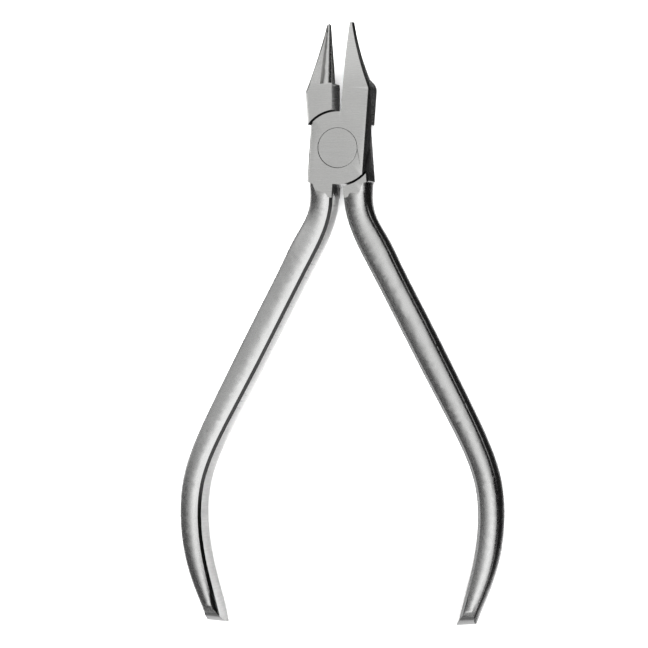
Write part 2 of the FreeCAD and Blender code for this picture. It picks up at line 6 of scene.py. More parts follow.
import bpy
import numpy as np
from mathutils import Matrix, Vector


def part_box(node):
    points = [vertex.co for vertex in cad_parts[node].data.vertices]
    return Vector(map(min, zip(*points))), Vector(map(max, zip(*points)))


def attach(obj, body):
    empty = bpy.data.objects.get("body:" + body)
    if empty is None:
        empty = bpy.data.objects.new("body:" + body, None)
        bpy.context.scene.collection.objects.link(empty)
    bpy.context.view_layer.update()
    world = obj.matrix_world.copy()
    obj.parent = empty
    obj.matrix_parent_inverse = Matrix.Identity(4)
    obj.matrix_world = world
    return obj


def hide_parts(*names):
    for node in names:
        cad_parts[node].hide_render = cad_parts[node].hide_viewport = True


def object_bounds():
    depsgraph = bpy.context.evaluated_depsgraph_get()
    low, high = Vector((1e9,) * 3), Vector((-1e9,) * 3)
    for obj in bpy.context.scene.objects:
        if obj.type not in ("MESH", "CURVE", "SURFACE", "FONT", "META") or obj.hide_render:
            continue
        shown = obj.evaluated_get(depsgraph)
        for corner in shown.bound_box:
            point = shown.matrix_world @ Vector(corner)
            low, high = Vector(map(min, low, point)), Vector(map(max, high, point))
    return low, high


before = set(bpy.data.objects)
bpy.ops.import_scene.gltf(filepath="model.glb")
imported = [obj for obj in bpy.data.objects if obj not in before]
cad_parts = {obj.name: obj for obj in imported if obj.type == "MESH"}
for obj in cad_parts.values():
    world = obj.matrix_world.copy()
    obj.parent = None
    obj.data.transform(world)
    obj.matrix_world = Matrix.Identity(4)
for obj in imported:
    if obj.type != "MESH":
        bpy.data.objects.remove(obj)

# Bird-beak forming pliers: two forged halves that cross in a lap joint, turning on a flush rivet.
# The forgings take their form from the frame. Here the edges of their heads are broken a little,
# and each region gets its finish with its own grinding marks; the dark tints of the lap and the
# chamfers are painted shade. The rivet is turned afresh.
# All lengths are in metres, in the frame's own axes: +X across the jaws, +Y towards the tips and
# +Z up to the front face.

CAD_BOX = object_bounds()
MM = 0.001
LOG = logging.getLogger("pliers")

# The grinding grain: two noises make the lines, and a third makes the tone uneven.
COARSE_LINES = {"Scale": 1.0, "Detail": 3.0, "Roughness": 0.6}
FINE_LINES = {"Scale": 2.7, "Detail": 2.0, "Roughness": 0.7}
CLOUD = {"Detail": 3.0, "Roughness": 0.55}
COARSE_SHARE = 0.55      # share of the coarse noise in the lines; the fine one has the rest
NOISE_SPAN = (0.3, 0.7)  # the part of a noise's range that is stretched to 0 and 1
LINES_SHARE = 0.7        # share of the lines in a finish's tone; the cloud has the rest


class Side(Enum):
    """Which way a half's handle lies from the pivot, along X."""

    LEFT = -1
    RIGHT = 1


class Region(Enum):
    """The differently finished surfaces of a forging, in the order of its material slots. The dark
    tints of the lap and the chamfer are painted shade.
    """

    GROUND_FACE = 0
    HANDLE = 1
    INNER_WALL = 2
    CUT_FLANK = 3
    LAP = 4
    CHAMFER = 5


class Blend(Enum):
    """What a Mix node blends, with the numbers of its two inputs and of its result."""

    FLOAT = (2, 3, 0)
    RGBA = (6, 7, 2)


# ---------------------------------------------------------------- node building


class Nodes:
    """A thin helper that adds and links shader nodes in one tree."""

    def __init__(self, tree: bpy.types.NodeTree) -> None:
        """Keep the tree that the nodes go in.

        Args:
            tree: a material's, world's or group's node tree.
        """
        self.tree = tree

    def add(self, kind: str, settings: dict | None = None, **values: object) -> bpy.types.Node:
        """Add a node.

        Args:
            kind: the node's type without its "ShaderNode" prefix.
            settings: attributes to set on the node.
            values: input values by name, with spaces written as underscores; a socket is linked.

        Returns:
            The new node.
        """
        node = self.tree.nodes.new("ShaderNode" + kind)
        for name, setting in (settings or {}).items():
            setattr(node, name, setting)
        for name, value in values.items():
            self.put(node.inputs[name.replace("_", " ")], value)
        return node

    def put(self, socket: bpy.types.NodeSocket, value: object) -> None:
        """Link a socket, or set its default value.

        Args:
            socket: the input to fill.
            value: another node's output socket, or a plain value.
        """
        if isinstance(value, bpy.types.NodeSocket):
            self.tree.links.new(value, socket)
        else:
            socket.default_value = value

    def maths(self, operation: str, *terms: object) -> bpy.types.NodeSocket:
        """Add a Math node.

        Args:
            operation: its operation, such as MULTIPLY.
            terms: its inputs in order, as numbers or sockets.

        Returns:
            The result's socket.
        """
        node = self.add("Math", {"operation": operation})
        for socket, term in zip(node.inputs, terms):
            self.put(socket, term)
        return node.outputs["Value"]

    def shared(self, first: bpy.types.NodeSocket, second: bpy.types.NodeSocket,
               share: float) -> bpy.types.NodeSocket:
        """Add two values up by their shares.

        Args:
            first: the first value.
            second: the second value, which has the rest.
            share: the first value's share.

        Returns:
            The sum's socket.
        """
        return self.maths("ADD", self.maths("MULTIPLY", first, share),
                          self.maths("MULTIPLY", second, 1.0 - share))

    def mix(self, kind: Blend, share: bpy.types.NodeSocket, first: object,
            second: object) -> bpy.types.NodeSocket:
        """Add a Mix node.

        Args:
            kind: what it blends.
            share: how far the result is from first to second.
            first: the result where share is 0, as a value or a socket.
            second: the same where share is 1.

        Returns:
            The result's socket.
        """
        node = self.add("Mix", {"data_type": kind.name})
        start, end, result = kind.value
        for number, value in ((0, share), (start, first), (end, second)):
            self.put(node.inputs[number], value)
        return node.outputs[result]

    def ramp(self, value: bpy.types.NodeSocket, low: float, high: float, start: float = 0.0,
             end: float = 1.0) -> bpy.types.NodeSocket:
        """Map a value smoothly from one range to another.

        Args:
            value: the value to map.
            low: where the result is start.
            high: where the result is end.
            start: the result at low.
            end: the result at high.

        Returns:
            The mapped value's socket.
        """
        node = self.add("MapRange", {"interpolation_type": "SMOOTHSTEP"}, Value=value)
        node.inputs["From Min"].default_value = low
        node.inputs["From Max"].default_value = high
        node.inputs["To Min"].default_value = start
        node.inputs["To Max"].default_value = end
        return node.outputs["Result"]


def new_group(name: str, inputs: dict[str, str], outputs: dict[str, str]) -> tuple:
    """Start a shader node group with named sockets.

    Args:
        name: the group's name.
        inputs: socket types by name, such as {"Scale": "NodeSocketFloat"}.
        outputs: the same for the outputs.

    Returns:
        The group's tree, its node helper, its input node and its output node.
    """
    tree = bpy.data.node_groups.new(name, "ShaderNodeTree")
    for socket_name, kind in inputs.items():
        tree.interface.new_socket(name=socket_name, in_out="INPUT", socket_type=kind)
    for socket_name, kind in outputs.items():
        tree.interface.new_socket(name=socket_name, in_out="OUTPUT", socket_type=kind)
    return tree, Nodes(tree), tree.nodes.new("NodeGroupInput"), tree.nodes.new("NodeGroupOutput")


def grinding_grain_group() -> bpy.types.NodeTree:
    """Build the group that draws fine parallel grinding lines on any coordinates.

    Noise is stretched along the first axis: its coordinates are multiplied by a small number
    along the lines and a large one across them, so each cell becomes a long thin scratch. A
    coarse and a fine noise are mixed, and a rounder, larger noise makes the tone uneven.

    Returns:
        The node group, with a Coordinates vector, Along, Across and Cloud Scale, and the
        outputs Lines and Cloud, both 0 to 1.
    """
    tree, nodes, given, result = new_group(
        "grinding grain",
        {"Coordinates": "NodeSocketVector", "Along": "NodeSocketFloat", "Across": "NodeSocketFloat",
         "Cloud Scale": "NodeSocketFloat"},
        {"Lines": "NodeSocketFloat", "Cloud": "NodeSocketFloat"})
    stretch = nodes.add("CombineXYZ", X=given.outputs["Along"], Y=given.outputs["Across"],
                        Z=given.outputs["Across"])
    stretched = nodes.add("VectorMath", {"operation": "MULTIPLY"})
    nodes.put(stretched.inputs[0], given.outputs["Coordinates"])
    nodes.put(stretched.inputs[1], stretch.outputs["Vector"])
    coarse = nodes.add("TexNoise", Vector=stretched.outputs["Vector"], **COARSE_LINES)
    fine = nodes.add("TexNoise", Vector=stretched.outputs["Vector"], **FINE_LINES)
    lines = nodes.shared(coarse.outputs["Fac"], fine.outputs["Fac"], COARSE_SHARE)
    cloud = nodes.add("TexNoise", Vector=given.outputs["Coordinates"],
                      Scale=given.outputs["Cloud Scale"], **CLOUD)
    nodes.put(result.inputs["Lines"], nodes.ramp(lines, *NOISE_SPAN))
    nodes.put(result.inputs["Cloud"], nodes.ramp(cloud.outputs["Fac"], *NOISE_SPAN))
    return tree


# ---------------------------------------------------------------- finishes


def new_material(name: str) -> tuple[bpy.types.Material, bpy.types.Node]:
    """Start a material.

    Args:
        name: its name.

    Returns:
        The material and its surface node.
    """
    material = bpy.data.materials.new(name)
    material.use_nodes = True
    return material, material.node_tree.nodes["Principled BSDF"]


@dataclass(frozen=True)
class SteelFinish:
    """A bare stainless steel surface with fine grinding lines.

    The lines run along the first axis of the piece's own map or of its Object coordinates.

    Attributes:
        name: the material's name.
        tint: its colour where the lines are bright.
        shade: how much of the tint is left where they are dark.
        roughness: the middle of its range of roughness.
        roughness_swing: the width of that range, which the lines sweep.
        along: cells of the lines' noise in each metre along them.
        across: the same across them.
        cloud: cells of the uneven tone in each metre.
        bump: strength of the lines' bump.
        bump_depth: height of the lines.
        mapped: whether the lines follow the piece's map.
        worn_from: how far along the map extra roughness starts.
        worn_to: how far along it is whole.
        worn_roughness: that extra roughness, or 0 for none.
        metallic: how far the surface mirrors as bare metal does.
    """

    name: str
    tint: tuple[float, float, float] = (0.62, 0.62, 0.61)
    shade: float = 0.86
    roughness: float = 0.24
    roughness_swing: float = 0.10
    along: float = 90.0
    across: float = 5200.0
    cloud: float = 160.0
    bump: float = 0.25
    bump_depth: float = 0.000012
    mapped: bool = False
    worn_from: float = 0.055
    worn_to: float = 0.090
    worn_roughness: float = 0.0
    metallic: float = 1.0

    def build(self, grain: bpy.types.NodeTree) -> bpy.types.Material:
        """Make the material.

        Args:
            grain: the shared grinding grain group.

        Returns:
            The new material.
        """
        material, surface = new_material(self.name)
        nodes = Nodes(material.node_tree)
        if self.mapped:
            coordinates = nodes.add("UVMap", {"uv_map": "along"}).outputs["UV"]
        else:
            coordinates = nodes.add("TexCoord").outputs["Object"]
        lines = nodes.add("Group", {"node_tree": grain}, Coordinates=coordinates,
                          Along=self.along, Across=self.across, Cloud_Scale=self.cloud)
        dark = tuple(self.shade * channel for channel in self.tint) + (1.0,)
        tone = nodes.shared(lines.outputs["Lines"], lines.outputs["Cloud"], LINES_SHARE)
        colour = nodes.mix(Blend.RGBA, tone, dark, self.tint + (1.0,))
        nodes.put(surface.inputs["Base Color"], colour)
        roughness = nodes.ramp(lines.outputs["Lines"], 0.0, 1.0,
                               self.roughness - self.roughness_swing / 2,
                               self.roughness + self.roughness_swing / 2)
        if self.worn_roughness:
            run = nodes.add("SeparateXYZ", Vector=coordinates)
            worn = nodes.ramp(run.outputs["X"], self.worn_from, self.worn_to, 0.0,
                              self.worn_roughness)
            roughness = nodes.maths("ADD", roughness, worn)
        nodes.put(surface.inputs["Roughness"], roughness)
        surface.inputs["Metallic"].default_value = self.metallic
        bump = nodes.add("Bump", Strength=self.bump, Distance=self.bump_depth,
                         Height=lines.outputs["Lines"])
        nodes.put(surface.inputs["Normal"], bump.outputs["Normal"])
        return material


# ---------------------------------------------------------------- meshes


def scene_object(name: str, data: bpy.types.ID) -> bpy.types.Object:
    """Put a new object in the scene at the origin.

    Args:
        name: its name.
        data: its mesh, camera or light.

    Returns:
        The new object.
    """
    item = bpy.data.objects.new(name, data)
    bpy.context.scene.collection.objects.link(item)
    return item


def mesh_object(name: str, points: np.ndarray, faces: list) -> bpy.types.Object:
    """Put a new mesh object in the scene at the origin.

    Args:
        name: its name.
        points: vertex places, one row each, in metres.
        faces: vertex numbers of each face, outward side counter-clockwise.

    Returns:
        The new object.
    """
    mesh = bpy.data.meshes.new(name)
    mesh.from_pydata(points.tolist(), [], faces)
    mesh.update()
    LOG.info("%s: %d vertices", name, len(points))
    return scene_object(name, mesh)


def gathered(items: bpy.types.bpy_prop_collection, name: str, width: int = 1,
             kind: type = float) -> np.ndarray:
    """Read one property of all the items of a mesh.

    Args:
        items: the mesh's vertices, edges, faces or corners, or an attribute's data.
        name: the property.
        width: how many numbers the property has.
        kind: their type.

    Returns:
        One row for each item, or a plain list of values where width is 1.
    """
    values = np.empty(len(items) * width, dtype=kind)
    items.foreach_get(name, values)
    return values.reshape(-1, width) if width > 1 else values


def welded(node: bpy.types.Object, step: float) -> tuple[np.ndarray, np.ndarray]:
    """Merge a frame node's loose triangles into one closed surface.

    Corners that round to the same multiple of step become one vertex, and triangles that lose
    a corner that way are dropped.

    Args:
        node: the frame's object.
        step: how close corners must be to merge, in metres.

    Returns:
        The vertices and the triangles as arrays.
    """
    mesh = node.data
    mesh.calc_loop_triangles()
    points = gathered(mesh.vertices, "co", 3)
    corners = gathered(mesh.loop_triangles, "vertices", 3, np.int64)
    _, first, merged = np.unique(np.round(points / step).astype(np.int64), axis=0,
                                 return_index=True, return_inverse=True)
    triangles = merged.reshape(-1)[corners]
    whole = (triangles != np.roll(triangles, 1, axis=1)).all(axis=1)
    return points[first], triangles[whole]


def lathe(profile: np.ndarray, steps: int) -> tuple[np.ndarray, list]:
    """Turn a profile about the Z axis.

    A point at radius r and height z, at step k of n, is (r cos a, r sin a, z) with
    a = 2 pi k / n. The profile's two ends are on the axis and become single poles.

    Args:
        profile: rows of radius and height, from the bottom pole to the top pole.
        steps: how many steps go round.

    Returns:
        The vertices and the faces.
    """
    angles = np.linspace(0.0, 2.0 * np.pi, steps, endpoint=False)
    ring = profile[1:-1]
    grid = np.stack([np.outer(ring[:, 0], np.cos(angles)), np.outer(ring[:, 0], np.sin(angles)),
                     np.repeat(ring[:, 1:], steps, axis=1)], axis=-1)
    poles = np.array([[0.0, 0.0, profile[0, 1]], [0.0, 0.0, profile[-1, 1]]])
    points = np.concatenate([grid.reshape(-1, 3), poles])
    row, column = np.meshgrid(np.arange(len(ring) - 1), np.arange(steps), indexing="ij")
    after = (column + 1) % steps
    quads = np.stack([row * steps + column, row * steps + after, (row + 1) * steps + after,
                      (row + 1) * steps + column], axis=-1).reshape(-1, 4)
    base, top = len(points) - 2, len(points) - 1
    here = np.arange(steps)
    ahead = (here + 1) % steps
    last = (len(ring) - 1) * steps
    lower = np.stack([ahead, here, np.full(steps, base)], axis=-1)
    upper = np.stack([last + here, last + ahead, np.full(steps, top)], axis=-1)
    return points, quads.tolist() + lower.tolist() + upper.tolist()


# ---------------------------------------------------------------- the pliers' pieces


@dataclass
class HandleLine:
    """Centre line of one handle: straight runs joined by tangent arcs, from plate to end.

    Attributes:
        side: which way the handle lies.
        half_opening: how far each half is turned from closed, in the rest pose.
        corners: x, y and the arc's radius of each corner in millimetres, from plate to end,
            with the handle on the right and the pliers closed. The two ends have no arc.
        samples: samples on each arc; the whole line has four times as many.
    """

    side: Side
    half_opening: float = math.radians(4.25)
    corners: tuple = ((3.5, -4.0, 0.0), (2.95, -14.55, 15.0), (30.3, -78.5, 39.4),
                      (20.15, -104.5, 0.0))
    samples: int = 160

    def points(self) -> np.ndarray:
        """Work out evenly spaced samples along the line.

        Each rounded corner is replaced by an arc: its ends lie r tan(t / 2) from the corner
        along the two runs, where t is the turn, and its samples swing evenly about its centre.

        Returns:
            Rows of x and y in metres, in the rest pose.
        """
        spots = np.array([corner[:2] for corner in self.corners]) * MM
        radii = np.array([corner[2] for corner in self.corners]) * MM
        pieces = [spots[:1]]
        for number in (1, 2):
            back = spots[number - 1] - spots[number]
            ahead = spots[number + 1] - spots[number]
            back, ahead = back / np.linalg.norm(back), ahead / np.linalg.norm(ahead)
            turn = math.pi - math.acos(float(back @ ahead))
            middle = (back + ahead) / np.linalg.norm(back + ahead)
            centre = spots[number] + middle * radii[number] / math.cos(turn / 2)
            share = np.linspace(-0.5, 0.5, self.samples)[:, None] * turn
            across = np.array([-middle[1], middle[0]])
            across = across if across @ ahead > 0 else -across
            arc = centre - radii[number] * (middle * np.cos(share) - across * np.sin(share))
            pieces.append(arc)
        pieces.append(spots[-1:])
        line = np.concatenate(pieces)
        lengths = np.concatenate([[0.0], np.cumsum(np.linalg.norm(np.diff(line, axis=0), axis=1))])
        even = np.linspace(0.0, lengths[-1], self.samples * 4)
        line = np.stack([np.interp(even, lengths, line[:, 0]),
                         np.interp(even, lengths, line[:, 1])], axis=1)
        cos, sin = math.cos(self.half_opening), math.sin(self.half_opening)
        opened = np.stack([line[:, 0] * cos - line[:, 1] * sin,
                           line[:, 1] * cos + line[:, 0] * sin], axis=1)
        return opened * np.array([self.side.value, 1.0])

    def place(self, points: np.ndarray) -> np.ndarray:
        """Give each point its distance along the line and its offset outwards from it.

        Args:
            points: rows of x, y and z.

        Returns:
            Rows of distance along and signed offset, in metres.
        """
        line = self.points()
        steps = np.linalg.norm(np.diff(line, axis=0), axis=1)
        along = np.concatenate([[0.0], np.cumsum(steps)])
        gaps = points[:, None, :2] - line[None, :, :]
        nearest = np.argmin((gaps ** 2).sum(axis=2), axis=1)
        direction = np.gradient(line, axis=0)
        direction /= np.linalg.norm(direction, axis=1)[:, None]
        gap = points[:, :2] - line[nearest]
        outwards = np.stack([-direction[:, 1], direction[:, 0]], axis=1) * self.side.value
        beyond = (gap * direction[nearest]).sum(axis=1)
        return np.stack([along[nearest] + beyond, (gap * outwards[nearest]).sum(axis=1)], axis=1)


@dataclass(frozen=True)
class Faces:
    """Where a forging's faces are and which way they look.

    Attributes:
        centres: rows of x, y and z.
        normals: the same.
        tilt: how far up or down each looks, from 0 for a side wall to 1 for a level face.
        offset: distance outwards from the handle's centre line.
    """

    centres: np.ndarray
    normals: np.ndarray
    tilt: np.ndarray
    offset: np.ndarray


@dataclass
class ForgedHalf:
    """One forging: joint plate, beak and handle, with a finish for each region.

    The reaches are measured down from the pivot along Y, unless they say otherwise.

    Attributes:
        node: the frame's node that it takes its form from.
        body: the body that it rides on.
        side: which way its handle lies.
        finishes: a material for each region.
        weld_step: how close corners must be to merge.
        edge_break: width of the head's broken edges.
        edge_segments: faces across each broken edge.
        crisp: an edge of the head that turns more than this is broken.
        sharp: any other edge that turns more than this splits the shading.
        polish_reach: how far down edges are broken.
        head_reach: where the inner walls of the handle begin.
        shoulder_reach: where its outer walls begin, and where the step of the lap ends.
        root_reach: where its front and back begin.
        end_reach: where the handle's end begins.
        line_slack: how far from the centre line a wall is an outer one.
        ledge: how far up the round jaw begins.
        level: the least tilt of a level face.
        level_slack: how near the top or bottom a ground level face is.
        slant: the most tilt of a chamfer.
        bulged: the most tilt of a handle's wall; its front and back tilt more.
        steep: the most tilt of a head's side wall.
        facing: how far a face must look one way to count as facing it.
        lap_reach: how far round the pivot the lap's painted shade goes.
        lap_top: how far up its walls go.
        lap_depth: how far above and below the lap's plane it goes.
        cone_axis: x of the cone's axis; the groove's wall is to its left.
    """

    node: str
    body: str
    side: Side
    finishes: dict[Region, bpy.types.Material]
    weld_step: float = 0.002 * MM
    edge_break: float = 0.08 * MM
    edge_segments: int = 2
    crisp: float = math.radians(28.0)
    sharp: float = math.radians(17.0)
    polish_reach: float = 6.0 * MM
    head_reach: float = 10.4 * MM
    shoulder_reach: float = 7.9 * MM
    root_reach: float = 7.4 * MM
    end_reach: float = 96.0 * MM
    line_slack: float = 1.2 * MM
    ledge: float = 14.0 * MM
    level: float = 0.999
    level_slack: float = 0.05 * MM
    slant: float = 0.9
    bulged: float = 0.6
    steep: float = 0.35
    facing: float = 0.5
    lap_reach: float = 10.2 * MM
    lap_top: float = 7.4 * MM
    lap_depth: float = 0.3 * MM
    cone_axis: float = -2.7 * MM

    def build(self) -> bpy.types.Object:
        """Build the piece and dress it.

        Returns:
            The forging's object.
        """
        points, triangles = welded(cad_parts[self.node], self.weld_step)
        piece = mesh_object(self.node + "_forging", points, triangles.tolist())
        self.map_surface(piece)
        self.sort_regions(piece)
        self.break_edges(piece)
        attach(piece, self.body)
        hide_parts(self.node)
        return piece

    def map_surface(self, piece: bpy.types.Object) -> None:
        """Lay a map that follows the handle: distance along it, and girth across it.

        Args:
            piece: the forging's object.
        """
        mesh = piece.data
        numbers = gathered(mesh.loops, "vertex_index", kind=np.int64)
        points = gathered(mesh.vertices, "co", 3)
        placed = HandleLine(self.side).place(points)
        placed[:, 1] += points[:, 2]
        layer = mesh.uv_layers.new(name="along")
        layer.data.foreach_set("uv", placed[numbers].reshape(-1))

    def sort_regions(self, piece: bpy.types.Object) -> None:
        """Give each face the finish of its region.

        Args:
            piece: the forging's object.
        """
        mesh = piece.data
        for region in Region:
            mesh.materials.append(self.finishes[region])
        centres = gathered(mesh.polygons, "center", 3)
        normals = gathered(mesh.polygons, "normal", 3)
        faces = Faces(centres, normals, np.abs(normals[:, 2]),
                      HandleLine(self.side).place(centres)[:, 1])
        on_handle = self.on_handle(faces)
        numbers = np.full(len(centres), Region.HANDLE.value)
        numbers[~on_handle] = Region.GROUND_FACE.value
        rules = self.handle_rules(faces, on_handle) + self.head_rules(faces, on_handle)
        for region, covered in rules:
            numbers[covered] = region.value
        mesh.polygons.foreach_set("material_index", numbers.astype(np.int32))
        mesh.update()

    def on_handle(self, faces: Faces) -> np.ndarray:
        """Tell which faces are the handle's; it begins at a different level on each wall.

        Args:
            faces: the forging's faces.

        Returns:
            One flag for each face.
        """
        reach = np.where(faces.offset > self.line_slack, self.shoulder_reach, self.head_reach)
        reach[faces.tilt > self.bulged] = self.root_reach
        return faces.centres[:, 1] < -reach

    def handle_rules(self, faces: Faces, on_handle: np.ndarray) -> list:
        """List the finishes of the handle's inner side and of its end.

        Args:
            faces: the forging's faces.
            on_handle: which of them are the handle's.

        Returns:
            Pairs of a region and a flag for each face; a later pair covers an earlier one.
        """
        inwards = on_handle & (faces.offset < 0)
        at_end = faces.centres[:, 1] < -self.end_reach
        # Painted shade: the chamfer's dark tint stands in for the dark reflections along the inner
        # edges, and the handle's end takes the same dark tint.
        return [
            (Region.CHAMFER, (faces.tilt < self.slant) & inwards),
            (Region.INNER_WALL, (faces.tilt < self.bulged) & inwards),
            (Region.CHAMFER, (faces.normals[:, 1] < -self.facing) & at_end),
        ]

    def head_rules(self, faces: Faces, on_handle: np.ndarray) -> list:
        """List the finishes of the joint plate and the beak.

        Args:
            faces: the forging's faces.
            on_handle: which of them are the handle's.

        Returns:
            Pairs of a region and a flag for each face; a later pair covers an earlier one.
        """
        low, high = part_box(self.node)
        x, y, z = faces.centres.T
        side_wall = faces.tilt < self.steep
        round_jaw = (self.side is Side.RIGHT) & (y > self.ledge)
        outermost = (z > high[2] - self.level_slack) | (z < low[2] + self.level_slack)
        groove = round_jaw & (faces.normals[:, 0] > self.facing) & (x < self.cone_axis)
        # Painted shade: where the other half shades them, the down-facing step below the plate and
        # the lap round the pivot get the near-black lap tint.
        step = ((faces.normals[:, 1] < -self.facing) & (faces.tilt > self.steep)
                & (faces.tilt < self.slant) & (y > -self.shoulder_reach))
        near_pivot = (np.hypot(x, y) < self.lap_reach) & ~on_handle
        at_seam = np.abs(z - (high[2] + low[2]) / 2) < self.lap_depth
        return [
            (Region.CUT_FLANK, side_wall & ~on_handle & ~round_jaw),
            (Region.GROUND_FACE, (faces.tilt > self.level) & outermost),
            (Region.INNER_WALL, groove),
            (Region.LAP, step),
            (Region.LAP, near_pivot & (at_seam | (side_wall & (y < self.lap_top)))),
        ]

    def break_edges(self, piece: bpy.types.Object) -> None:
        """Round the head's sharp edges a little, as the last polish leaves them.

        The handles keep their crisp ridges: an edge there that turns more than the sharp angle
        splits the shading, and everything flatter is shaded smooth.

        Args:
            piece: the forging's object.
        """
        mesh = piece.data
        mesh.polygons.foreach_set("use_smooth", np.ones(len(mesh.polygons), dtype=bool))
        ends = gathered(mesh.edges, "vertices", 2, np.int64)
        lowest = gathered(mesh.vertices, "co", 3)[ends, 1].min(axis=1)
        rounded = self.turned(mesh, self.crisp) & (lowest > -self.polish_reach)
        weights = mesh.attributes.new("bevel_weight_edge", "FLOAT", "EDGE")
        weights.data.foreach_set("value", rounded.astype(np.float32))
        split = self.turned(mesh, self.sharp) & ~rounded
        mesh.attributes["sharp_edge"].data.foreach_set("value", split)
        bevel = piece.modifiers.new("edge break", "BEVEL")
        bevel.width = self.edge_break
        bevel.segments = self.edge_segments
        bevel.limit_method = "WEIGHT"
        weighted = piece.modifiers.new("even shading", "WEIGHTED_NORMAL")
        weighted.keep_sharp = True

    def turned(self, mesh: bpy.types.Mesh, angle: float) -> np.ndarray:
        """Tell which edges turn by more than an angle, and mark them as sharp.

        Args:
            mesh: the forging's mesh.
            angle: the least turn, in radians.

        Returns:
            One flag for each edge.
        """
        mesh.set_sharp_from_angle(angle=angle)
        return gathered(mesh.attributes["sharp_edge"].data, "value", kind=bool)


@dataclass
class HingeRivet:
    """The rivet: flush tapered head, journal, shank and peened foot.

    Attributes:
        finish: its material.
        body: the body that it rides on.
        head_land: height of the head's straight rim.
        head_taper: height of the taper under it.
        journal_radius: radius of the part that the front half turns on.
        shank_radius: radius of the part in the rear half.
        foot_radius: radius of the peened foot.
        foot_height: height of the foot.
        edge_break: radius of the two outer edges.
        edge_points: points on each rounded edge.
        steps: how many steps go round.
        ring_shares: radii of the rings on both end faces, as shares of the face's radius.
    """

    finish: bpy.types.Material
    body: str = "cone_half"
    head_land: float = 0.8 * MM
    head_taper: float = 0.9 * MM
    journal_radius: float = 3.4 * MM
    shank_radius: float = 2.6 * MM
    foot_radius: float = 3.2 * MM
    foot_height: float = 0.9 * MM
    edge_break: float = 0.13 * MM
    edge_points: int = 5
    steps: int = 160
    ring_shares: tuple = tuple(np.linspace(0.85, 0.15, 8))

    def profile(self) -> np.ndarray:
        """List the turned outline from the bottom pole to the top one.

        Returns:
            Rows of radius and height.
        """
        low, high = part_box("hinge_rivet")
        head = (high[0] - low[0]) / 2
        top, bottom = high[2], low[2]
        lap = (top + bottom) / 2
        land = top - self.head_land
        rim = self.edge_break
        rise = np.linspace(0.0, np.pi / 2, self.edge_points)
        rounded_top = np.stack([head - rim + rim * np.cos(rise), top - rim + rim * np.sin(rise)], 1)
        rounded_foot = np.stack([self.foot_radius - rim + rim * np.sin(rise),
                                 bottom + rim - rim * np.cos(rise)], 1)
        rings = np.array(self.ring_shares)
        foot_rings = np.stack([rings[::-1] * self.foot_radius, np.full(len(rings), bottom)], 1)
        face_rings = np.stack([rings * head, np.full(len(rings), top)], 1)
        return np.concatenate([
            [[0.0, bottom]], foot_rings, rounded_foot,
            [[self.shank_radius, bottom + self.foot_height], [self.shank_radius, lap],
             [self.journal_radius, lap], [self.journal_radius, land - self.head_taper],
             [head, land]], rounded_top, face_rings, [[0.0, top]]])

    def build(self) -> bpy.types.Object:
        """Turn the rivet and dress it.

        Returns:
            The rivet's object.
        """
        points, faces = lathe(self.profile(), self.steps)
        piece = mesh_object("hinge_rivet_turned", points, faces)
        piece.data.materials.append(self.finish)
        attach(piece, self.body)
        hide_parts("hinge_rivet")
        return piece


# ---------------------------------------------------------------- studio


@dataclass(frozen=True)
class Patch:
    """A soft round patch of the surroundings.

    Attributes:
        towards: the direction that it is in.
        core: half the angle of its even middle, in degrees.
        rim: half the angle at which it has faded away, in degrees.
        level: its brightness.
    """

    towards: tuple[float, float, float]
    core: float
    rim: float
    level: float


